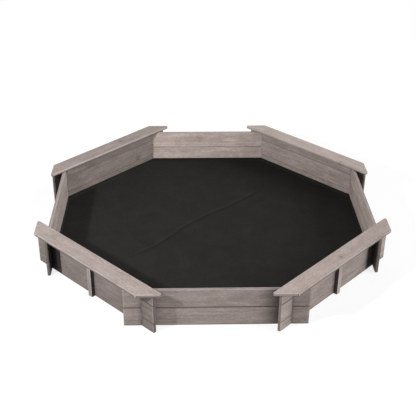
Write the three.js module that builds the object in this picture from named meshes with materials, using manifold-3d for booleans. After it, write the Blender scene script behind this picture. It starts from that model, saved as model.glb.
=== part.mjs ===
// Octagonal timber sandbox: eight walls of interlocking boards, four corner seats, four seat
// battens, a fabric ground liner and the wood screws that hold the seats and the battens.
// Millimetres, +Z up. The origin is on the ground at the centre of the octagon.

import * as THREE from 'three';
import { mergeVertices } from 'three/addons/utils/BufferGeometryUtils.js';
import Module from 'manifold-3d';

const wasm = await Module();
wasm.setup();

// Driving dimensions
const OVERALL = 1981;            // width across the box, from board end to board end (78 in)
const BOARD_THICKNESS = 17;
const WALL_HEIGHT = 222;
const EXTENSION = 91;            // length of a board past the corner where it crosses the next one
const GAP = 0.3;                 // clearance between neighbouring pieces

const SEAT_THICKNESS = 16;
const SEAT_OVERHANG_OUT = 61;    // from the outer face of the wall to the outer edge of the seat
const SEAT_OVERHANG_IN = 24;     // from the inner face of the wall to the inner edge of the seat
const SEAT_TIP_RADIUS = 11;      // rounding of the sharp inner corners
const SEAT_CORNER_RADIUS = 6;    // rounding of the blunt outer corners
const SEAT_ARC_SEGMENTS = 5;     // per quarter turn of rounding, at most

const BATTEN_WIDTH = 30;
const BATTEN_DEPTH = 22;

const LINER_THICKNESS = 2;
const LINER_RIM = 27;            // height of the liner's edge, turned up against the boards

const SCREW_HEAD_RADIUS = 4;
const SCREW_HEAD_HEIGHT = 2.6;
const SCREW_SHANK_RADIUS = 2;
const SCREW_POINT_LENGTH = 5;
const SCREW_SIDES = 16;
const SCREW_RECESS = { span: 4.4, width: 0.9, depth: 1.5 };
const SEAT_SCREW_LENGTH = 38;
const SEAT_SCREW_SPREAD = 300;   // from the middle of the seat to each end screw
const BATTEN_SCREW_LENGTH = 30;
const BATTEN_SCREW_LEVELS = [0.65, 2, 3.3];   // one in each board of a diagonal wall, in quarters

// Derived dimensions
const EIGHTH_TURN = Math.PI / 4;
const HALF_SPAN = OVERALL / 2;
const APOTHEM = HALF_SPAN - EXTENSION * Math.cos(EIGHTH_TURN);     // centre to outer wall face
const INNER_APOTHEM = APOTHEM - BOARD_THICKNESS;
const BOARD_LENGTH = 2 * (APOTHEM * Math.tan(EIGHTH_TURN / 2) + EXTENSION);
const QUARTER = WALL_HEIGHT / 4;                                    // height of a half board
const SEAT_BOTTOM = WALL_HEIGHT + GAP / 2;
const SEAT_TOP = SEAT_BOTTOM + SEAT_THICKNESS;

// A wall is built as the front wall, running along X with its outer face towards -Y, and its
// group is turned into place about Z. Walls alternate between square ones, of two full boards,
// and diagonal ones, of a half board, a full board and a half board. Board edges are in quarters.
const WALL_NAMES = [
  'front', 'front_right', 'right', 'back_right', 'back', 'back_left', 'left', 'front_left',
];
const SQUARE_BOARDS = { lower: [0, 2], upper: [2, 4] };
const DIAGONAL_BOARDS = { bottom: [0, 1], middle: [1, 3], top: [3, 4] };

const boardWood = new THREE.MeshStandardMaterial({ color: '#94887f', roughness: 0.8, metalness: 0 });
const seatWood = new THREE.MeshStandardMaterial({ color: '#aa9f98', roughness: 0.7, metalness: 0 });
const battenWood = new THREE.MeshStandardMaterial({ color: '#a0958d', roughness: 0.8, metalness: 0 });
const linerFabric = new THREE.MeshStandardMaterial({ color: '#2b2a28', roughness: 0.95, metalness: 0 });
const zincSteel = new THREE.MeshStandardMaterial({ color: '#8f9090', roughness: 0.4, metalness: 0.9 });

// Closed three.js geometry to manifold solid
function toSolid(geometry) {
  const bare = geometry.clone();
  bare.deleteAttribute('normal');
  bare.deleteAttribute('uv');
  const merged = mergeVertices(bare, 1e-4);
  return new wasm.Manifold(new wasm.Mesh({
    numProp: 3,
    vertProperties: new Float32Array(merged.attributes.position.array),
    triVerts: new Uint32Array(merged.index.array),
  }));
}

function toGeometry(solid) {
  const mesh = solid.getMesh();
  const geometry = new THREE.BufferGeometry();
  geometry.setAttribute('position', new THREE.BufferAttribute(mesh.vertProperties, 3));
  geometry.setIndex(new THREE.BufferAttribute(mesh.triVerts, 1));
  geometry.computeVertexNormals();
  return geometry;
}

function cut(solid, cutters) {
  return cutters.reduce((remaining, cutter) => remaining.subtract(cutter), solid);
}

// A box between two heights, centred on (x, y)
function block(length, width, bottom, top, x, y) {
  const geometry = new THREE.BoxGeometry(length, width, top - bottom);
  return geometry.translate(x, y, (bottom + top) / 2);
}

// The space that the next board (side 1) or the one before (side -1) takes as it crosses
function crossingSlab(side, bottom, top) {
  const middle = APOTHEM - BOARD_THICKNESS / 2;
  const along = -side * middle * Math.tan(EIGHTH_TURN / 2);
  const slab = block(4 * BOARD_THICKNESS, BOARD_THICKNESS + 2 * GAP, bottom, top, along, -middle);
  return toSolid(slab.rotateZ(side * EIGHTH_TURN));
}

// Half-lap notches, an eighth of the wall deep, in every edge that meets a crossing board. A
// diagonal wall's lowest and highest edges meet none.
function notches([low, high], diagonal) {
  const spans = [];
  if (!(diagonal && low === 0)) {
    spans.push([low * QUARTER - GAP, (low + 0.5) * QUARTER + GAP / 2]);
  }
  if (!(diagonal && high === 4)) {
    spans.push([(high - 0.5) * QUARTER - GAP / 2, high * QUARTER + GAP]);
  }
  return spans.flatMap(([bottom, top]) => [-1, 1].map((side) => crossingSlab(side, bottom, top)));
}

function wallBoard(levels, diagonal, screwHoles) {
  const bottom = levels[0] * QUARTER + (levels[0] > 0 ? GAP / 2 : 0);
  const top = levels[1] * QUARTER - GAP / 2;
  const plank = block(BOARD_LENGTH, BOARD_THICKNESS, bottom, top, 0, -APOTHEM + BOARD_THICKNESS / 2);
  return toGeometry(cut(toSolid(plank), [...notches(levels, diagonal), ...screwHoles]));
}

// Closed outline through corners { x, y, radius }, anticlockwise, with an arc at each corner
function roundedOutline(corners) {
  const shape = new THREE.Shape();
  corners.forEach((corner, index) => {
    const point = new THREE.Vector2(corner.x, corner.y);
    const before = corners[(index + corners.length - 1) % corners.length];
    const after = corners[(index + 1) % corners.length];
    const back = new THREE.Vector2(before.x, before.y).sub(point).normalize();
    const ahead = new THREE.Vector2(after.x, after.y).sub(point).normalize();
    const halfAngle = Math.acos(back.dot(ahead)) / 2;
    const inward = back.clone().add(ahead).normalize();
    const centre = point.clone().addScaledVector(inward, corner.radius / Math.sin(halfAngle));
    const middle = inward.angle() + Math.PI;
    const halfArc = Math.PI / 2 - halfAngle;
    shape.absarc(centre.x, centre.y, corner.radius, middle - halfArc, middle + halfArc, false);
  });
  shape.closePath();
  return shape;
}

// Seat: a board over a diagonal wall, its ends parallel to the two neighbouring walls
function seatBoard(screwHoles) {
  const outer = APOTHEM + SEAT_OVERHANG_OUT;
  const inner = INNER_APOTHEM - SEAT_OVERHANG_IN;
  const endAt = (distance) => HALF_SPAN / Math.cos(EIGHTH_TURN) - distance;
  const outline = roundedOutline([
    { x: -endAt(outer), y: -outer, radius: SEAT_CORNER_RADIUS },
    { x: endAt(outer), y: -outer, radius: SEAT_CORNER_RADIUS },
    { x: endAt(inner), y: -inner, radius: SEAT_TIP_RADIUS },
    { x: -endAt(inner), y: -inner, radius: SEAT_TIP_RADIUS },
  ]);
  const board = new THREE.ExtrudeGeometry(outline, {
    depth: SEAT_THICKNESS, bevelEnabled: false, curveSegments: SEAT_ARC_SEGMENTS,
  });
  return toGeometry(cut(toSolid(board.translate(0, 0, SEAT_BOTTOM)), screwHoles));
}

// Batten: stands on the ground against the middle of a diagonal wall, under the seat
function seatBatten(screwHoles) {
  const middle = APOTHEM + GAP + BATTEN_DEPTH / 2;
  const post = block(BATTEN_WIDTH, BATTEN_DEPTH, 0, WALL_HEIGHT - GAP / 2, 0, -middle);
  return toGeometry(cut(toSolid(post), screwHoles));
}

// Countersunk wood screw, head up at the origin, point down -Z. The same shape with a clearance
// all round, and with its head run out past the surface, cuts the hole that the screw sits in.
function screwProfile(length, clearance) {
  const shank = SCREW_SHANK_RADIUS + clearance;
  const head = SCREW_HEAD_RADIUS + clearance;
  const points = [
    [0, -length - clearance],
    [shank, -length + SCREW_POINT_LENGTH - clearance],
    [shank, -SCREW_HEAD_HEIGHT - clearance],
    [head, -clearance],
  ];
  if (clearance > 0) {
    points.push([head, 1]);
  }
  points.push([0, points.at(-1)[1]]);
  const profile = points.map(([x, y]) => new THREE.Vector2(x, y));
  return new THREE.LatheGeometry(profile, SCREW_SIDES).rotateX(Math.PI / 2);
}

function screw(length) {
  const { span, width, depth } = SCREW_RECESS;
  const recess = [[span, width], [width, span]].map(([x, y]) => toSolid(block(x, y, -depth, 1, 0, 0)));
  return toGeometry(cut(toSolid(screwProfile(length, 0)), recess));
}

// Where the screws of a diagonal wall stand, as matrices in the wall's own frame
function seatScrewPlaces() {
  const overBoard = -APOTHEM + BOARD_THICKNESS / 2;
  const overBatten = -(APOTHEM + GAP + BATTEN_DEPTH / 2);
  return [
    [-SEAT_SCREW_SPREAD, overBoard], [0, overBatten], [SEAT_SCREW_SPREAD, overBoard],
  ].map(([x, y]) => new THREE.Matrix4().makeTranslation(x, y, SEAT_TOP - GAP));
}

function battenScrewPlaces() {
  const outward = new THREE.Matrix4().makeRotationX(-Math.PI / 2);
  return BATTEN_SCREW_LEVELS.map((level) => (
    new THREE.Matrix4().makeTranslation(0, -INNER_APOTHEM - GAP, level * QUARTER).multiply(outward)
  ));
}

function screwHolesAt(places, length) {
  return places.map((place) => toSolid(screwProfile(length, GAP).applyMatrix4(place)));
}

// Liner: an octagonal sheet on the ground with its edge turned up against the boards
function groundLiner() {
  const octagon = (apothem, bottom, top) => {
    const radius = apothem / Math.cos(EIGHTH_TURN / 2);
    const height = top - bottom;
    const prism = new THREE.CylinderGeometry(radius, radius, height, 8, 1, false, EIGHTH_TURN / 2);
    return toSolid(prism.rotateX(Math.PI / 2).translate(0, 0, (bottom + top) / 2));
  };
  const outer = INNER_APOTHEM - 2 * GAP;
  const hollow = octagon(outer - LINER_THICKNESS, GAP + LINER_THICKNESS, 2 * LINER_RIM);
  return toGeometry(octagon(outer, GAP, LINER_RIM).subtract(hollow));
}

function addPiece(group, name, geometry, material) {
  const mesh = new THREE.Mesh(geometry, material);
  mesh.name = name;
  group.add(mesh);
  return mesh;
}

function addScrews(group, name, places, length) {
  places.forEach((place, index) => {
    const mesh = addPiece(group, `${name}_${index + 1}`, screw(length), zincSteel);
    mesh.applyMatrix4(place);
  });
}

function squareWall(name) {
  const wall = new THREE.Group();
  for (const [part, levels] of Object.entries(SQUARE_BOARDS)) {
    addPiece(wall, `${name}_wall_${part}_board`, wallBoard(levels, false, []), boardWood);
  }
  return wall;
}

function diagonalWall(name) {
  const wall = new THREE.Group();
  const seatPlaces = seatScrewPlaces();
  const battenPlaces = battenScrewPlaces();
  const holes = [
    ...screwHolesAt(seatPlaces, SEAT_SCREW_LENGTH),
    ...screwHolesAt(battenPlaces, BATTEN_SCREW_LENGTH),
  ];
  for (const [part, levels] of Object.entries(DIAGONAL_BOARDS)) {
    addPiece(wall, `${name}_wall_${part}_board`, wallBoard(levels, true, holes), boardWood);
  }
  addPiece(wall, `${name}_seat`, seatBoard(holes), seatWood);
  addPiece(wall, `${name}_batten`, seatBatten(holes), battenWood);
  addScrews(wall, `${name}_seat_screw`, seatPlaces, SEAT_SCREW_LENGTH);
  addScrews(wall, `${name}_batten_screw`, battenPlaces, BATTEN_SCREW_LENGTH);
  return wall;
}

const sandbox = new THREE.Group();
WALL_NAMES.forEach((name, index) => {
  const wall = index % 2 ? diagonalWall(name) : squareWall(name);
  wall.rotation.z = index * EIGHTH_TURN;
  sandbox.add(wall);
});
addPiece(sandbox, 'ground_liner', groundLiner(), linerFabric);

export default sandbox;
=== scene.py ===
"""Looks of the octagonal timber sandbox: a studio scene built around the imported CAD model.

Every wooden piece starts from its CAD node's own shape, gets eased edges and a grain that runs
along the board, and stands in for that node. The liner is a sheet of cloth with its edge turned
up, and the screws have threads and cross recesses. Units are metres, +Z up.
"""

import math
import random

import bmesh
import bpy
from mathutils import Matrix, Vector, noise


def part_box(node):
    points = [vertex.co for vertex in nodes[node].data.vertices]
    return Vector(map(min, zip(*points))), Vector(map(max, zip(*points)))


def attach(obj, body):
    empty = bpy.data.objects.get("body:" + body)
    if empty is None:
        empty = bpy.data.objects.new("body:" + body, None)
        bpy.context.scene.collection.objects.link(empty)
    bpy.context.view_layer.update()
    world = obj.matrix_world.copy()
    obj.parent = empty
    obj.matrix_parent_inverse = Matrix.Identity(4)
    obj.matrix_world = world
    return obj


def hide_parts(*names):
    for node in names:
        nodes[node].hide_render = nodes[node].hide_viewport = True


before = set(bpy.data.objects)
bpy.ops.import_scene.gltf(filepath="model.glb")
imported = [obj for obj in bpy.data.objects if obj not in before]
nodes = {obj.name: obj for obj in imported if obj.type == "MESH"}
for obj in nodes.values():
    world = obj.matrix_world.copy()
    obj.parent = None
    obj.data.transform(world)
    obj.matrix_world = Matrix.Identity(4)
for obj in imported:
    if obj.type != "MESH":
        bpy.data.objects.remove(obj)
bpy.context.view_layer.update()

MM = 0.001
EIGHTH_TURN = math.pi / 4

# Wood
BOARD_EASE = 2.2 * MM          # rounding of a board's edges
SEAT_EASE = 3.5 * MM
BATTEN_EASE = 2.0 * MM
EASE_SEGMENTS = 3
GRAIN_SHIFT = Vector((7.3, 3.1, 5.7))   # from piece to piece, so no two share their grain
TONE_SPREAD = 0.05             # from board to board, either way
# How light the wood is, wall by wall, on the inner and the outer side. A wall that isn't named has 1.
# These tones are partly the wood's own tone and partly painted light and shade that the lights don't make.
INNER_TONES_AND_PAINTED_SHADING = {"back": 1.9, "back_right": 1.30, "right": 1.54, "left": 1.10, "back_left": 0.78}
OUTER_TONES_AND_PAINTED_SHADING = {"front_left": 0.68, "front_right": 1.03}
END_PAINTED_LIGHT = {"front_right": 1.2}   # painted light past the corners, against the rest of the wall
# Seats and battens, piece by piece: partly the wood's own tone, partly painted light and shade.
BATTEN_TONES_AND_PAINTED_SHADING = {"front_left": 0.80, "front_right": 1.14, "back_left": 0.84, "back_right": 1.3}
SEAT_TONES_AND_PAINTED_SHADING = {"front_left": 0.98, "back_left": 0.94, "front_right": 1.18, "back_right": 1.32}
# Painted shadow in sharp corners, nearly black: the end of the wall, how dark the painted shadow
# is, and how far from the crossing boards it is full and gone
NO_PAINTED_CORNER_SHADOW = ("none", 0.0, 0.0, 0.0)
PAINTED_CORNER_SHADOWS = {
    "front_left": ("left", 1.0, 84 * MM, 92 * MM), "front_right": ("right", 1.0, 55 * MM, 80 * MM),
    "left": ("right", 0.9, 0.0, 1 * MM), "right": ("left", 0.9, 0.0, 1 * MM),
    "back_left": ("right", 0.9, 50 * MM, 80 * MM), "back_right": ("left", 0.9, 50 * MM, 80 * MM),
    "front": ("right", 0.77, 40 * MM, 170 * MM),
}
SEAT_EDGE_PAINTED_SHADE = 0.55     # painted shade on the outer edge of a seat, against its top
INDOOR_PAINTED_LIGHT = 1.3              # painted light: the faces towards the sand are lighter
WEATHER_BAND = 5.0 * MM        # how far wear and grime reach in from an edge
CREVICE_REACH = 22 * MM        # how far painted shade spreads from the corner where two boards cross
CREVICE_PAINTED_SHADE = 0.45            # painted shade in that corner, where 1 is the most
SEAT_DIRT = {"bottom": 0.7}    # on the faces that lie against something
BATTEN_DIRT = {"bottom": 0.6, "top": 0.9, "inner": 0.9}
SHELTERED_SEAM = 0.2           # dirt on the outer side of a seam under a seat; an open seam has 1
INDOOR_CHANGE = 0.4            # on the inner side a sheltered seam has this much more, an open one less
TOP_EDGE_SHARE = 0.45          # dirt in a board's top edge against its bottom edge
EASED_SHARE = 0.4              # the edge itself reaches in by this much of its rounding
ON_FACE = 3 * MM               # a point nearer to a face than this lies on it
HOLE_MARGIN = 0.8 * MM         # an edge this near to a screw is the rim of its hole
WELD = 0.02 * MM
FLAT_ANGLE = math.radians(1)
FACING = 0.6                   # a face looks along an axis when its normal has this much of it
SHARP_ANGLE = math.radians(35)
FACES = {
    "bottom": Vector((0, 0, -1)), "top": Vector((0, 0, 1)),
    "outer": Vector((0, -1, 0)), "inner": Vector((0, 1, 0)),
    "left": Vector((-1, 0, 0)), "right": Vector((1, 0, 0)),
}
SEAT_FACES = FACES | {
    "left": Vector((-1, -1, 0)).normalized(), "right": Vector((1, -1, 0)).normalized(),
}

# Liner
LINER_THICKNESS = 1.0 * MM
LINER_FOLD = 6 * MM            # radius of the fold where the edge turns up
LINER_FOLD_STEPS = 4
LINER_SPACING = 10 * MM        # of the mesh's cuts
RIPPLE_HEIGHT = 1.4 * MM
RIPPLE_SCALE = 3.2
WALL_CALM = 0.12               # the fabric comes down flat over this width along the walls
# The long fold left by the packing
FOLD_START = Vector((-0.50, -0.30))
FOLD_END = Vector((0.36, 0.515))
FOLD_FADE = 0.15               # at each end
FOLD_HEIGHT = 3.5 * MM
FOLD_WIDTH = 12 * MM
FOLD_SHADE_WIDTH = 8 * MM      # of the strips of painted light and painted shade beside the crest
FOLD_BEND = 0.033              # sideways, dying away and swinging to and fro along the fold
FOLD_BEND_DECAY = 1.5
FOLD_BEND_RATE = 7.8           # radians in a metre

# Screws
SCREW_HEAD = 4.0 * MM          # radius
SCREW_HEAD_HEIGHT = 2.6 * MM
SMOOTH_SHARE = 0.35            # of the length, under the head, has no thread
SCREW_SIDES = 32
RECESS_SPAN = 4.4 * MM         # cross recess, from arm end to arm end
RECESS_WIDTH = 1.0 * MM
RECESS_DEPTH = 1.5 * MM
RECESS_TAPER = 0.55            # its span at the bottom against the top

# Camera and light
CAMERA_PLACE = Vector((-0.1528, -4.2854, 2.6691))
CAMERA_YAW = 0.031
CAMERA_PITCH = 0.531
CAMERA_ROLL = 0.008
CAMERA_LENS = 71.6             # millimetres
SENSOR_WIDTH = 36              # millimetres
STUDIO_PROFILE = [(60, 0), (62.5, 0.4), (64.5, 1.6), (66, 4), (66.6, 9)]   # radius and height
STUDIO_SIDES = 96
FLOOR_GLOW = 0.80
WORLD_LIGHT = 0.20
KEY_PLACE = (-2.44, -2.16, 2.24)
KEY_POWER = 360

walls_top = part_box("front_wall_upper_board")[1].z


# ---------------------------------------------------------------- node trees

class Tree:
    """A material's node tree, with one short call for each kind of node that the looks use."""

    def __init__(self, name):
        self.material = bpy.data.materials.new(name)
        self.material.use_nodes = True
        self.nodes = self.material.node_tree.nodes
        self.links = self.material.node_tree.links
        self.shader = self.nodes["Principled BSDF"]

    def add(self, kind, inputs=None, **settings):
        node = self.nodes.new(kind)
        for name, value in settings.items():
            setattr(node, name, value)
        for name, value in (inputs or {}).items():
            self.put(node.inputs[name], value)
        return node

    def put(self, socket, value):
        if isinstance(value, bpy.types.NodeSocket):
            self.links.new(value, socket)
        else:
            socket.default_value = value

    def attribute(self, name, output):
        return self.add("ShaderNodeAttribute", attribute_name=name).outputs[output]

    def stretched(self, place, scale):
        return self.add("ShaderNodeMapping", {"Vector": place, "Scale": scale}).outputs[0]

    def noise(self, place, scale, detail=3.0, rough=0.55, warp=0.0):
        inputs = {
            "Vector": place, "Scale": scale, "Detail": detail, "Roughness": rough, "Distortion": warp,
        }
        return self.add("ShaderNodeTexNoise", inputs).outputs["Fac"]

    def stretched_noise(self, place, scale, detail=3.0, rough=0.55, warp=0.0):
        """Noise with its own scale along each axis. Where the scale is small, its spots are long."""
        return self.noise(self.stretched(place, scale), 1.0, detail, rough, warp)

    def ranged(self, value, low, high, to_low=0.0, to_high=1.0):
        """Turns low to high into to_low to to_high, with soft ends."""
        inputs = {
            "Value": value, "From Min": low, "From Max": high, "To Min": to_low, "To Max": to_high,
        }
        node = self.add("ShaderNodeMapRange", inputs, interpolation_type="SMOOTHSTEP")
        return node.outputs["Result"]

    def math(self, operation, first, second=0.0):
        node = self.add("ShaderNodeMath", operation=operation)
        self.put(node.inputs[0], first)
        self.put(node.inputs[1], second)
        return node.outputs[0]

    def product(self, first, *others):
        for other in others:
            first = self.math("MULTIPLY", first, other)
        return first

    def weighed(self, first, first_share, second, second_share):
        """Two values added up by their shares."""
        return self.math("ADD", self.product(first, first_share), self.product(second, second_share))

    def scaled(self, colour, factor):
        node = self.add("ShaderNodeVectorMath", {"Vector": colour, "Scale": factor}, operation="SCALE")
        return node.outputs[0]

    def weather_and_shade(self):
        """Wear, grime with painted shade, and how far the point is towards the sand, as the mesh carries
        them.
        """
        parts = self.add("ShaderNodeSeparateXYZ", {"Vector": self.attribute("weather_and_shade", "Vector")})
        return [parts.outputs[axis] for axis in "XYZ"]

    def mixed(self, factor, first, second, blend="MIX"):
        """Mixes two colours. The node has sockets of one name for each kind, so they go by number."""
        node = self.add("ShaderNodeMix", data_type="RGBA", blend_type=blend)
        for socket, value in ((0, factor), (6, first), (7, second)):
            self.put(node.inputs[socket], value)
        return node.outputs[2]

    def ramp(self, value, stops):
        node = self.add("ShaderNodeValToRGB", {"Fac": value})
        elements = node.color_ramp.elements
        while len(elements) < len(stops):
            elements.new(0.5)
        for element, (position, colour) in zip(elements, stops):
            element.position = position
            element.color = (*colour, 1)
        return node.outputs["Color"]

    def bump(self, height, strength, distance, below=None):
        inputs = {"Height": height, "Strength": strength, "Distance": distance}
        if below is not None:
            inputs["Normal"] = below
        return self.add("ShaderNodeBump", inputs).outputs["Normal"]


def grey(value, warmth=1.0):
    """A warm grey of that linear value."""
    return (value * (1 + 0.09 * warmth), value * (1 - 0.028 * warmth), value * (1 - 0.072 * warmth))


def knots(tree, place):
    """A mask of scattered round knots that run through the board, and of the rings around them.
    The board's face is split into cells an eighth of a metre wide. Fewer than a quarter have a knot."""
    across = tree.stretched(place, (8.0, 8.0, 0.0))
    cells = tree.add("ShaderNodeTexVoronoi", {"Vector": across, "Scale": 1.0, "Randomness": 1.0})
    distance = cells.outputs["Distance"]
    pick = tree.add("ShaderNodeSeparateColor", {"Color": cells.outputs["Color"]}).outputs["Red"]
    chosen = tree.ranged(pick, 0.22, 0.24, 1.0, 0.0)
    core = tree.product(tree.ranged(distance, 0.04, 0.11, 1.0, 0.0), chosen)
    halo = tree.product(tree.ranged(distance, 0.08, 0.34, 1.0, 0.0), chosen)
    return core, halo


def drifting(tree, place):
    """The place with its two crosswise parts shifted a little, so that the grain wanders."""
    drift = tree.add("ShaderNodeTexNoise", {"Vector": place, "Scale": 5.0, "Detail": 2.0})
    bent = tree.add("ShaderNodeVectorMath", operation="MULTIPLY_ADD")
    tree.put(bent.inputs[0], drift.outputs["Color"])
    tree.put(bent.inputs[1], (0.0, 0.030, 0.030))
    tree.put(bent.inputs[2], place)
    return bent.outputs[0]


def wood_colours(light, contrast):
    """The ramp from dark late wood to pale early wood."""
    spread = 0.30 * contrast
    return [
        (0.30, grey(light * (1 - 1.5 * spread), 1.9)),
        (0.44, grey(light * (1 - 0.5 * spread), 1.7)),
        (0.55, grey(light, 1.5)),
        (0.70, grey(light * (1 + 0.6 * spread), 1.2)),
    ]


def greywash_wood(name, light, contrast=1.0):
    """Grey-washed softwood, with the grain along the first axis of the grain attribute."""
    tree = Tree(name)
    place = tree.attribute("grain", "Vector")
    wear, grime_and_shade, indoors = tree.weather_and_shade()
    core, halo = knots(tree, place)
    bent = drifting(tree, place)
    bands = tree.stretched_noise(bent, (1.8, 62, 62), detail=3.0, rough=0.6, warp=0.4)
    streaks = tree.stretched_noise(bent, (4.0, 190, 190), detail=4.0, rough=0.7, warp=0.4)
    fibres = tree.stretched_noise(bent, (9, 520, 520), detail=3.0, rough=0.6)
    blotches = tree.stretched_noise(place, (8, 22, 22), detail=5.0, rough=0.62, warp=0.4)
    speckle = tree.stretched_noise(place, (60, 150, 150), detail=3.0, rough=0.65)
    tints = tree.stretched_noise(place, (9, 24, 24), detail=2.0, rough=0.5)
    checks = tree.stretched_noise(bent, (4.5, 230, 20), detail=2.0, rough=0.5)
    figure = tree.weighed(bands, 0.42, streaks, 0.34)
    figure = tree.math("ADD", figure, tree.product(fibres, 0.24))
    figure = tree.math("SUBTRACT", figure, tree.product(halo, 0.10))
    shade = tree.product(
        tree.ranged(blotches, 0.32, 0.68, 1 - 0.15 * contrast, 1 + 0.11 * contrast),
        tree.ranged(speckle, 0.30, 0.70, 0.87, 1.12),
        # the tone, the indoor factor and the grime carry painted light and shade as well as the wood's own
        # tone and dirt
        tree.attribute("tone_and_painted_shading", "Fac"),
        tree.ranged(indoors, 0.0, 1.0, 1.0, INDOOR_PAINTED_LIGHT),
        tree.ranged(grime_and_shade, 0.0, 1.0, 1.0, 0.10),
        tree.ranged(checks, 0.70, 0.76, 1.0, 0.62),
    )
    shaded = tree.scaled(tree.ramp(figure, wood_colours(light, contrast)), shade)
    tinted = tree.mixed(tree.ranged(tints, 0.44, 0.62, 0.0, 0.45), shaded, (1.04, 1.0, 0.92, 1), "MULTIPLY")
    knotted = tree.mixed(tree.product(core, 0.72), tinted, (*grey(light * 0.30, 3.0), 1))
    worn = tree.product(wear, tree.ranged(blotches, 0.3, 0.6, 0.45, 0.95))
    finished = tree.mixed(worn, knotted, (*grey(light * (1 + 0.4 * contrast), 1.2), 1))
    tree.put(tree.shader.inputs["Base Color"], finished)
    tree.put(tree.shader.inputs["Roughness"], tree.ranged(figure, 0.3, 0.7, 0.86, 0.66))
    tree.shader.inputs["Specular IOR Level"].default_value = 0.25
    relief = tree.weighed(streaks, 0.55, fibres, 0.45)
    relief = tree.math("SUBTRACT", relief, tree.ranged(checks, 0.70, 0.76, 0.0, 0.5))
    tree.put(tree.shader.inputs["Normal"], tree.bump(relief, strength=0.4, distance=0.6 * MM))
    return tree.material


def end_grain(name, light):
    """The sawn end of a board: growth rings, pores and dirt along the edges."""
    tree = Tree(name)
    place = tree.attribute("grain", "Vector")
    _, grime_and_shade, _ = tree.weather_and_shade()
    rings = tree.add("ShaderNodeTexWave", {
        "Vector": tree.stretched(place, (0, 1, 1)), "Scale": 55.0, "Distortion": 3.0, "Detail": 2.0,
        "Detail Scale": 1.5,
    }, wave_type="RINGS", rings_direction="X").outputs["Fac"]
    pores = tree.stretched_noise(place, (60, 900, 900), detail=2.0)
    figure = tree.weighed(rings, 0.45, pores, 0.55)
    stops = [
        (0.25, grey(light * 0.66, 2.0)),
        (0.5, grey(light * 0.88, 1.8)),
        (0.75, grey(light * 1.08, 1.4)),
    ]
    # grime and tone carry painted shade and painted light as well as dirt and the wood's own tone
    shade = tree.product(tree.ranged(grime_and_shade, 0.0, 1.0, 1.0, 0.45), tree.attribute("tone_and_painted_shading", "Fac"))
    tree.put(tree.shader.inputs["Base Color"], tree.scaled(tree.ramp(figure, stops), shade))
    tree.shader.inputs["Roughness"].default_value = 0.88
    tree.shader.inputs["Specular IOR Level"].default_value = 0.2
    tree.put(tree.shader.inputs["Normal"], tree.bump(figure, strength=0.4, distance=0.5 * MM))
    return tree.material


def liner_fabric():
    """Dark non-woven ground fabric: matted fibres, faint mottling and a fold with painted light and shade.
    """
    tree = Tree("ground_fabric")
    place = tree.attribute("grain", "Vector")
    mottle = tree.noise(place, 7.0, detail=4.0, rough=0.6, warp=0.5)
    fibres = tree.noise(place, 900.0, detail=4.0, rough=0.7)
    clumps = tree.noise(place, 160.0, detail=3.0, rough=0.6)
    figure = tree.weighed(mottle, 0.5, clumps, 0.5)
    stops = [
        (0.3, (0.0135, 0.0130, 0.0116)),
        (0.5, (0.0180, 0.0173, 0.0155)),
        (0.72, (0.024, 0.023, 0.0205)),
    ]
    # painted light on the fold's far side, painted shade on its near side
    fold_painted_shading = tree.product(tree.attribute("fold", "Fac"), tree.ranged(clumps, 0.3, 0.6, 0.22, 0.46))
    shade = tree.math("ADD", fold_painted_shading, 1.0)
    tree.put(tree.shader.inputs["Base Color"], tree.scaled(tree.ramp(figure, stops), shade))
    tree.put(tree.shader.inputs["Roughness"], tree.ranged(clumps, 0.3, 0.7, 0.98, 0.86))
    tree.shader.inputs["Specular IOR Level"].default_value = 0.15
    soft = tree.bump(mottle, strength=0.5, distance=3.0 * MM)
    matted = tree.bump(fibres, strength=0.5, distance=0.35 * MM, below=soft)
    tree.put(tree.shader.inputs["Normal"], matted)
    return tree.material


def zinc_steel():
    """Dull zinc plating with faint scuffs."""
    tree = Tree("zinc_plated_steel")
    place = tree.attribute("grain", "Vector")
    scuffs = tree.noise(place, 700.0, detail=4.0, rough=0.6)
    stops = [(0.3, (0.30, 0.29, 0.28)), (0.7, (0.50, 0.49, 0.47))]
    tree.put(tree.shader.inputs["Base Color"], tree.ramp(scuffs, stops))
    tree.put(tree.shader.inputs["Roughness"], tree.ranged(scuffs, 0.3, 0.7, 0.34, 0.55))
    tree.shader.inputs["Metallic"].default_value = 0.9
    tree.put(tree.shader.inputs["Normal"], tree.bump(scuffs, strength=0.15, distance=0.1 * MM))
    return tree.material


def studio_floor():
    """A plain white floor that glows a little, as a light table does, so shadows on it stay faint."""
    tree = Tree("studio_floor")
    place = tree.add("ShaderNodeTexCoord").outputs["Object"]
    shade = tree.noise(place, 1.5)
    stops = [(0.3, (0.24, 0.24, 0.24)), (0.7, (0.25, 0.25, 0.25))]
    tree.put(tree.shader.inputs["Base Color"], tree.ramp(shade, stops))
    tree.shader.inputs["Roughness"].default_value = 0.9
    tree.shader.inputs["Specular IOR Level"].default_value = 0.1
    tree.shader.inputs["Emission Color"].default_value = (1, 1, 1, 1)
    tree.shader.inputs["Emission Strength"].default_value = FLOOR_GLOW
    return tree.material


# ---------------------------------------------------------------- shared mesh code

def wall_turn(node):
    """How far about Z the node's wall is turned from the front wall, which runs along X."""
    low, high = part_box(node)
    middle = (low + high) / 2
    return round(math.atan2(middle.x, -middle.y) / EIGHTH_TURN) * EIGHTH_TURN


def in_wall_frame(node):
    """The node's corner points with its wall turned to the front."""
    turn = Matrix.Rotation(-wall_turn(node), 3, "Z")
    return [turn @ vertex.co for vertex in nodes[node].data.vertices]


def box_of(points):
    low = Vector(map(min, *points))
    high = Vector(map(max, *points))
    return low, high


def inside(point, box, margin):
    low, high = box
    return all(low[i] - margin < point[i] < high[i] + margin for i in range(3))


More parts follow.
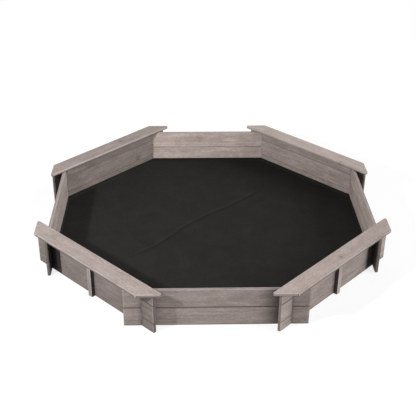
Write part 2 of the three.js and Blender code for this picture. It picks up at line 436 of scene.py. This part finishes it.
def new_piece(name, mesh, materials):
    data = bpy.data.meshes.new(name)
    mesh.to_mesh(data)
    mesh.free()
    for material in materials:
        data.materials.append(material)
    data.shade_smooth()
    data.set_sharp_from_angle(angle=SHARP_ANGLE)
    piece = bpy.data.objects.new(name, data)
    bpy.context.scene.collection.objects.link(piece)
    return piece


def store(piece, name, kind, values):
    attribute = piece.data.attributes.new(name, kind, "POINT")
    field = "vector" if kind == "FLOAT_VECTOR" else "value"
    attribute.data.foreach_set(field, values)


# ---------------------------------------------------------------- wood

def clean_shape(node):
    """The CAD shape as a mesh of whole faces, turned to the front wall's frame."""
    mesh = bmesh.new()
    mesh.from_mesh(nodes[node].data)
    mesh.transform(Matrix.Rotation(-wall_turn(node), 4, "Z"))
    bmesh.ops.remove_doubles(mesh, verts=mesh.verts, dist=WELD)
    bmesh.ops.dissolve_limit(mesh, angle_limit=FLAT_ANGLE, verts=mesh.verts, edges=mesh.edges)
    return mesh


def ease_edges(mesh, radius, holes):
    """Rounds the outward edges, apart from the rims of the screw holes."""
    eased = []
    for edge in mesh.edges:
        if len(edge.link_faces) != 2:
            continue
        middle = (edge.verts[0].co + edge.verts[1].co) / 2
        in_hole = any(inside(middle, hole, HOLE_MARGIN) for hole in holes)
        if edge.calc_face_angle_signed() > SHARP_ANGLE and not in_hole:
            eased.append(edge)
    bmesh.ops.bevel(
        mesh, geom=eased, offset=radius, offset_type="OFFSET", segments=EASE_SEGMENTS,
        profile=0.5, affect="EDGES", clamp_overlap=False,
    )


def slice_mesh(mesh, normal, place):
    """Cuts a loop across the mesh, where the plane with this normal at this distance meets it."""
    bmesh.ops.bisect_plane(
        mesh, geom=[*mesh.verts, *mesh.edges, *mesh.faces], dist=1e-6,
        plane_co=normal * place, plane_no=normal,
    )


def steps(low, high, spacing):
    count = max(1, round((high - low) / spacing))
    return [low + (high - low) * i / count for i in range(1, count)]


def crossing_places():
    """Where along a wall its neighbours' boards stand out of it, nearest its middle and farthest."""
    low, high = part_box("front_wall_lower_board")
    outer, inner = -low.y, -high.y
    return inner * math.sqrt(2) - outer, outer * math.sqrt(2) - outer


class Timber:
    """The CAD node of a board, a seat or a batten, seen with its wall turned to the front."""

    def __init__(self, node, radius):
        points = in_wall_frame(node)
        self.radius = radius
        self.kind = node.rsplit("_", 1)[1]
        self.wall = node.split("_wall_")[0].removesuffix("_seat").removesuffix("_batten")
        self.turn = wall_turn(node)
        self.low, self.high = box_of(points)
        normals = SEAT_FACES if self.kind == "seat" else FACES
        self.planes = {
            name: (normal, max(normal.dot(point) for point in points)) for name, normal in normals.items()
        }
        self.near, self.far = crossing_places()
        self.corner_painted_shadow = PAINTED_CORNER_SHADOWS.get(self.wall, NO_PAINTED_CORNER_SHADOW)
        self.number = sorted(nodes).index(node)
        self.own_tone = 1 + random.Random(self.number).uniform(-TONE_SPREAD, TONE_SPREAD)

    def indoors(self, point):
        """How far the point is from a board's outer side (0) to its inner side (1)."""
        if self.kind != "board":
            return 0.0
        return (point.y - self.low.y) / (self.high.y - self.low.y)

    def past_corner(self, point):
        return self.kind == "board" and abs(point.x) > self.far

    def by_front_or_back(self, point):
        """Whether the point is nearer to the front or back wall than to the right or left one."""
        placed = Matrix.Rotation(self.turn, 3, "Z") @ point
        return abs(placed.y) > abs(placed.x)


def painted_corner_shade(timber, point):
    """Painted shade in the corners that the crossing boards make outside the box, and nearly black painted
    shadow at the listed ends.
    """
    end, darkest, full, gone = timber.corner_painted_shadow
    along = abs(point.x)
    at_painted_shadow_end = FACES.get(end, Vector()).x * point.x > 0
    if abs(point.y - timber.high.y) < ON_FACE:
        return darkest if at_painted_shadow_end and along > timber.far else 0.0
    if abs(point.y - timber.low.y) > ON_FACE:
        return 0.0
    gap = max(0.0, timber.near - along, along - timber.far)
    corner_shade = CREVICE_PAINTED_SHADE * math.exp(-gap / CREVICE_REACH)
    if at_painted_shadow_end and along < timber.near:
        corner_shade = max(corner_shade, darkest * min(1.0, max(0.0, (gone - gap) / (gone - full))))
    return corner_shade


def hidden_faces(timber, point):
    """The faces that lie against another piece or the ground, and how dirty they are there. Under
    the seats the seams stay clean, but not past the corners by the front and back walls."""
    if timber.kind == "seat":
        return SEAT_DIRT
    if timber.kind == "batten":
        return BATTEN_DIRT
    change = INDOOR_CHANGE * timber.indoors(point)
    is_square = timber.wall in ("front", "right", "back", "left")
    in_the_open = is_square or timber.past_corner(point) and timber.by_front_or_back(point)
    seam = 1 - change if in_the_open else SHELTERED_SEAM + change
    hidden = {"bottom": 1 - change if timber.low.z < 1 * MM else seam}
    if not (is_square and timber.high.z > walls_top - 1 * MM):
        hidden["top"] = TOP_EDGE_SHARE * seam
    return hidden


def weathering_and_painted_shade(timber, point):
    """Wear and grime at a point, both 1 on an edge and 0 a little way in. An edge is grimy, not
    worn, where one of its faces is hidden against another board or the ground. On a board the
    grime also carries the painted shade and painted shadow of the corners."""
    depths = sorted(
        (max(0.0, place - normal.dot(point)), name) for name, (normal, place) in timber.planes.items()
    )
    past_edge = max(0.0, depths[1][0] - EASED_SHARE * timber.radius)
    nearness = max(0.0, 1 - past_edge / WEATHER_BAND)
    hidden = hidden_faces(timber, point)
    grime_and_shade = max(hidden.get(name, 0.0) for _, name in depths[:2]) * nearness
    wear = 0.0 if grime_and_shade else nearness
    if timber.kind == "board":
        grime_and_shade = max(grime_and_shade, painted_corner_shade(timber, point))
    return wear, grime_and_shade


def side_tone_and_painted_shading(timber, point):
    """How light the wood is on this side of the piece: partly its own tone, partly painted light and shade.
    """
    if timber.kind == "seat":
        return SEAT_TONES_AND_PAINTED_SHADING[timber.wall]
    if timber.kind == "batten":
        return BATTEN_TONES_AND_PAINTED_SHADING[timber.wall]
    outer, inner = OUTER_TONES_AND_PAINTED_SHADING.get(timber.wall, 1.0), INNER_TONES_AND_PAINTED_SHADING.get(timber.wall, 1.0)
    return outer + (inner - outer) * timber.indoors(point)


def tone_and_painted_shading(timber, point):
    """How light the wood is at a point, painted light and shade included: painted shade on a seat's outer
    edge, and the wall's painted light past a corner.
    """
    value = timber.own_tone * side_tone_and_painted_shading(timber, point)
    if timber.kind == "seat":
        edge = max(0.0, 1 - (point.y - timber.low.y) / (timber.radius + WEATHER_BAND))
        value *= 1 - SEAT_EDGE_PAINTED_SHADE * edge
    if timber.past_corner(point):
        value *= END_PAINTED_LIGHT.get(timber.wall, 1.0)
    return value


def own_screw_holes(timber):
    own_screws = (f"{timber.wall}_seat_screw_", f"{timber.wall}_batten_screw_")
    return [box_of(in_wall_frame(name)) for name in nodes if name.startswith(own_screws)]


def cut_for_weather_and_shade(mesh, timber):
    """Cuts the mesh where wear, grime and the painted shade in the corners begin and end."""
    for normal, place in timber.planes.values():
        slice_mesh(mesh, normal, place - timber.radius)
        slice_mesh(mesh, normal, place - timber.radius - WEATHER_BAND)
    if timber.kind != "board":
        return
    _, _, full, gone = timber.corner_painted_shadow
    reaches = (0, 0.5 * CREVICE_REACH, CREVICE_REACH, 2 * CREVICE_REACH, full, gone)
    beyond = [timber.far, timber.far + 1 * MM, timber.far + CREVICE_REACH]
    for place in [timber.near - reach for reach in reaches] + beyond:
        slice_mesh(mesh, FACES["right"], place)
        slice_mesh(mesh, FACES["left"], place)


def give_materials(mesh, timber, grain_axis):
    """The second material goes on the ends of the grain, and the third, a nearly black painted shade, on a
    batten's two sides.
    """
    for face in mesh.faces:
        is_end = abs(face.normal[grain_axis]) > FACING
        is_painted_shade_side = timber.kind == "batten" and abs(face.normal.x) > FACING
        face.material_index = 1 if is_end else 2 if is_painted_shade_side else 0


def wooden_piece(node, radius, axes, materials):
    """The node's board with eased edges, its grain along the first of the axes, and its weathering and
    painted light and shade.
    """
    timber = Timber(node, radius)
    mesh = clean_shape(node)
    ease_edges(mesh, radius, own_screw_holes(timber))
    cut_for_weather_and_shade(mesh, timber)
    give_materials(mesh, timber, axes[0])
    shift = GRAIN_SHIFT * (1 + timber.number)
    grain, weather_and_shade, tones_and_painted_shading = [], [], []
    for vertex in mesh.verts:
        point = vertex.co
        grain.extend(Vector([point[axis] for axis in axes]) + shift)
        weather_and_shade.extend((*weathering_and_painted_shade(timber, point), timber.indoors(point)))
        tones_and_painted_shading.append(tone_and_painted_shading(timber, point))
    mesh.transform(Matrix.Rotation(timber.turn, 4, "Z"))
    piece = new_piece(f"{node}_wood", mesh, materials)
    store(piece, "grain", "FLOAT_VECTOR", grain)
    store(piece, "weather_and_shade", "FLOAT_VECTOR", weather_and_shade)
    store(piece, "tone_and_painted_shading", "FLOAT", tones_and_painted_shading)
    piece.modifiers.new("even_normals", "WEIGHTED_NORMAL").keep_sharp = True
    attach(piece, "root")
    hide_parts(node)


# ---------------------------------------------------------------- screws

def cross_radius(angle):
    """Distance from the middle of a cross recess to its side, in the direction of the angle."""
    off_arm = abs((angle + EIGHTH_TURN) % (2 * EIGHTH_TURN) - EIGHTH_TURN)
    if off_arm < 1e-6:
        return RECESS_SPAN / 2
    return min(RECESS_SPAN / 2, RECESS_WIDTH / 2 / math.sin(off_arm))


def screw_profile(length):
    """Rings from the bottom of the recess, over the head and down the thread, as radius and height."""
    core, crest, shank, pitch, point = 1.45 * MM, 2.0 * MM, 2.0 * MM, 1.8 * MM, 5 * MM
    profile = [
        (0, -RECESS_DEPTH), (lambda angle: RECESS_TAPER * cross_radius(angle), -RECESS_DEPTH),
        (cross_radius, 0),
        (SCREW_HEAD - 0.3 * MM, 0), (SCREW_HEAD, -0.25 * MM), (SCREW_HEAD - 0.1 * MM, -0.5 * MM),
        (shank, -SCREW_HEAD_HEIGHT), (shank, -SMOOTH_SHARE * length),
    ]
    turns = int(((1 - SMOOTH_SHARE) * length - point) / pitch)
    for turn in range(turns):
        top = -SMOOTH_SHARE * length - turn * pitch
        profile += [(core, top - 0.3 * pitch), (core, top - 0.6 * pitch), (crest, top - 0.8 * pitch)]
    return profile + [(core, -length + point), (0, -length)]


def screw_mesh(length):
    """Countersunk wood screw with its head up at the origin."""
    mesh = bmesh.new()
    rings = []
    for radius, height in screw_profile(length):
        if radius == 0:
            rings.append([mesh.verts.new((0, 0, height))])
            continue
        ring = []
        for side in range(SCREW_SIDES):
            angle = 2 * math.pi * side / SCREW_SIDES
            reach = radius(angle) if callable(radius) else radius
            ring.append(mesh.verts.new((reach * math.cos(angle), reach * math.sin(angle), height)))
        rings.append(ring)
    for upper, lower in zip(rings, rings[1:]):
        for side in range(SCREW_SIDES):
            after = (side + 1) % SCREW_SIDES
            corners = [
                upper[side % len(upper)], lower[side % len(lower)],
                lower[after % len(lower)], upper[after % len(upper)],
            ]
            mesh.faces.new(list(dict.fromkeys(corners)))
    bmesh.ops.recalc_face_normals(mesh, faces=mesh.faces)
    return mesh


def screw_piece(node, material):
    """The node's screw: one in a seat has its head up, and one in a batten has it towards the sand."""
    low, high = box_of(in_wall_frame(node))
    middle = (low + high) / 2
    if "_seat_screw_" in node:
        length = high.z - low.z
        place = Matrix.Translation((middle.x, middle.y, high.z))
    else:
        length = high.y - low.y
        place = Matrix.Translation((middle.x, high.y, middle.z)) @ Matrix.Rotation(-math.pi / 2, 4, "X")
    mesh = screw_mesh(length)
    grain = [component for vertex in mesh.verts for component in vertex.co]
    mesh.transform(Matrix.Rotation(wall_turn(node), 4, "Z") @ place)
    piece = new_piece(f"{node}_steel", mesh, [material])
    store(piece, "grain", "FLOAT_VECTOR", grain)
    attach(piece, "root")
    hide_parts(node)


# ---------------------------------------------------------------- liner

def octagon_ring(mesh, apothem, height):
    radius = apothem / math.cos(EIGHTH_TURN / 2)
    angles = [(i + 0.5) * EIGHTH_TURN for i in range(8)]
    return [mesh.verts.new((radius * math.cos(a), radius * math.sin(a), height)) for a in angles]


def octagon_depth(point):
    """Distance from the middle to the octagon through the point."""
    return max(
        point.x * math.cos(i * EIGHTH_TURN) + point.y * math.sin(i * EIGHTH_TURN) for i in range(8)
    )


def ridge(distance, width):
    return math.exp(-((distance / width) ** 2))


def across_fold(point):
    """How far the point is to the right of the long fold left by the packing, and how strong the
    fold is there, from 1 down to 0 at its ends."""
    line = (FOLD_END - FOLD_START).normalized()
    offset = Vector((point.x, point.y)) - FOLD_START
    along = offset.dot(line)
    bend = FOLD_BEND * math.exp(-FOLD_BEND_DECAY * max(0.0, along)) * math.sin(FOLD_BEND_RATE * along)
    to_end = (FOLD_END - FOLD_START).length - along
    strength = max(0.0, min(1.0, along / FOLD_FADE, to_end / FOLD_FADE))
    return offset.x * line.y - offset.y * line.x - bend, strength


def packing_fold(point):
    """Height of the fold over the fabric beside it, where its crest is 1."""
    across, strength = across_fold(point)
    return strength * ridge(across, FOLD_WIDTH)


def fold_painted_light_and_shade(point):
    """Painted light on the fold's far side (above 0) and painted shade on the side nearer the front right
    (below 0).
    """
    across, strength = across_fold(point)
    painted_lit_side = ridge(across + FOLD_SHADE_WIDTH, FOLD_SHADE_WIDTH)
    painted_shaded_side = ridge(across - FOLD_SHADE_WIDTH, FOLD_SHADE_WIDTH)
    return strength * (painted_lit_side - painted_shaded_side)


def lie_of_fabric(point, apothem):
    """Height of the fabric over the ground: gentle ripples and the fold, flat at the walls."""
    inward = min(1.0, max(0.0, (apothem - octagon_depth(point)) / WALL_CALM))
    calm = inward * inward * (3 - 2 * inward)
    field = noise.fractal(Vector((point.x, point.y, 0.3)) * RIPPLE_SCALE, 0.7, 2.0, 4)
    ripples = RIPPLE_HEIGHT * (0.5 + field)
    return calm * (max(0.0, ripples) + FOLD_HEIGHT * packing_fold(point))


def liner_tray(low, high, apothem):
    """An octagon whose edge turns up along a quarter circle and stands to the top, cut into squares."""
    mesh = bmesh.new()
    floor_height = low.z + LINER_THICKNESS
    rings = []
    for step in range(LINER_FOLD_STEPS + 1):
        angle = step / LINER_FOLD_STEPS * math.pi / 2
        out = apothem - LINER_FOLD * (1 - math.sin(angle))
        rings.append(octagon_ring(mesh, out, floor_height + LINER_FOLD * (1 - math.cos(angle))))
    rings.append(octagon_ring(mesh, apothem, high.z))
    mesh.faces.new(rings[0])
    for inner, outer in zip(rings, rings[1:]):
        for i in range(8):
            after = (i + 1) % 8
            mesh.faces.new([inner[i], outer[i], outer[after], inner[after]])
    for axis, normal in enumerate((Vector((1, 0, 0)), Vector((0, 1, 0)))):
        for place in steps(low[axis], high[axis], LINER_SPACING):
            slice_mesh(mesh, normal, place)
    bmesh.ops.recalc_face_normals(mesh, faces=mesh.faces)
    if sum(face.normal.z for face in mesh.faces) < 0:
        bmesh.ops.reverse_faces(mesh, faces=mesh.faces)
    return mesh


def ground_liner(material):
    """The liner's cloth, whose outer side lies on the CAD liner's."""
    node = "ground_liner"
    low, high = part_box(node)
    apothem = high.x - LINER_THICKNESS
    mesh = liner_tray(low, high, apothem)
    for vertex in mesh.verts:
        vertex.co.z += lie_of_fabric(vertex.co, apothem - LINER_FOLD)
    bmesh.ops.solidify(mesh, geom=list(mesh.faces), thickness=LINER_THICKNESS)
    piece = new_piece("ground_liner_cloth", mesh, [material])
    store(piece, "grain", "FLOAT_VECTOR", [c for v in piece.data.vertices for c in v.co])
    store(piece, "fold", "FLOAT", [fold_painted_light_and_shade(v.co) for v in piece.data.vertices])
    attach(piece, "root")
    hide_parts(node)


# ---------------------------------------------------------------- studio

def studio():
    """A round floor whose far edge curves up into a low backdrop, and a dim white sky."""
    mesh = bmesh.new()
    rings = []
    for radius, height in STUDIO_PROFILE:
        ring = bmesh.ops.create_circle(mesh, segments=STUDIO_SIDES, radius=radius)["verts"]
        for vertex in ring:
            vertex.co.z = height
        rings.append(ring)
    mesh.faces.new(rings[0])
    for lower, upper in zip(rings, rings[1:]):
        for i in range(STUDIO_SIDES):
            after = (i + 1) % STUDIO_SIDES
            mesh.faces.new([lower[i], lower[after], upper[after], upper[i]])
    floor = new_piece("studio_floor", mesh, [studio_floor()])
    world = bpy.data.worlds.new("studio")
    world.use_nodes = True
    background = world.node_tree.nodes["Background"]
    background.inputs["Color"].default_value = (1, 1, 1, 1)
    background.inputs["Strength"].default_value = WORLD_LIGHT
    bpy.context.scene.world = world


def sun(name, travel, strength, softness):
    data = bpy.data.lights.new(name, "SUN")
    data.energy = strength
    data.angle = math.radians(softness)
    source = bpy.data.objects.new(name, data)
    source.rotation_mode = "QUATERNION"
    source.rotation_quaternion = Vector(travel).to_track_quat("-Z", "Y")
    bpy.context.scene.collection.objects.link(source)


def lamp(name, place, power, size):
    data = bpy.data.lights.new(name, "POINT")
    data.energy = power
    data.shadow_soft_size = size
    bulb = bpy.data.objects.new(name, data)
    bulb.location = place
    bpy.context.scene.collection.objects.link(bulb)


def lights():
    """A hard lamp at the front left, and wide soft light from the right, the front and behind."""
    lamp("key", KEY_PLACE, KEY_POWER, size=0.11)
    sun("right", travel=(-0.88, 0.13, -0.50), strength=2.5, softness=40)
    sun("front", travel=(0.10, 0.88, -0.47), strength=0.25, softness=50)
    sun("back", travel=(0.1, -0.8, -0.6), strength=0.5, softness=50)


def camera():
    """Looks along +Y, turned and tipped by the three angles."""
    data = bpy.data.cameras.new("camera")
    data.lens = CAMERA_LENS
    data.sensor_width = SENSOR_WIDTH
    eye = bpy.data.objects.new("camera", data)
    ahead = Vector((
        math.sin(CAMERA_YAW) * math.cos(CAMERA_PITCH),
        math.cos(CAMERA_YAW) * math.cos(CAMERA_PITCH),
        -math.sin(CAMERA_PITCH),
    ))
    right = Vector((math.cos(CAMERA_YAW), -math.sin(CAMERA_YAW), 0))
    up = right.cross(ahead)
    tilted_right = right * math.cos(CAMERA_ROLL) + up * math.sin(CAMERA_ROLL)
    tilted_up = up * math.cos(CAMERA_ROLL) - right * math.sin(CAMERA_ROLL)
    turn = Matrix((tilted_right, tilted_up, -ahead)).transposed()
    eye.matrix_world = Matrix.Translation(CAMERA_PLACE) @ turn.to_4x4()
    bpy.context.scene.collection.objects.link(eye)
    bpy.context.scene.camera = eye


def wood():
    """Boards, seats and battens, with the axis that the grain runs along named first."""
    board = [
        greywash_wood("board_greywash", light=0.225, contrast=1.05),
        end_grain("board_ends", light=0.13),
    ]
    seat = [
        greywash_wood("seat_greywash", light=0.325, contrast=0.6),
        end_grain("seat_ends", light=0.22),
    ]
    batten = [
        greywash_wood("batten_greywash", light=0.26),
        end_grain("batten_ends", light=0.25),
        # nearly black painted shade for the battens' two sides
        greywash_wood("batten_sides_painted_shade", light=0.035),
    ]
    for node in sorted(nodes):
        if node.endswith("_board"):
            wooden_piece(node, BOARD_EASE, (0, 2, 1), board)
        elif node.endswith("_seat"):
            wooden_piece(node, SEAT_EASE, (0, 1, 2), seat)
        elif node.endswith("_batten"):
            wooden_piece(node, BATTEN_EASE, (2, 0, 1), batten)


def screws():
    steel = zinc_steel()
    for node in sorted(nodes):
        if "_screw_" in node:
            screw_piece(node, steel)


camera()
lights()
studio()
wood()
screws()
ground_liner(liner_fabric())
bpy.context.scene.view_settings.view_transform = "Standard"
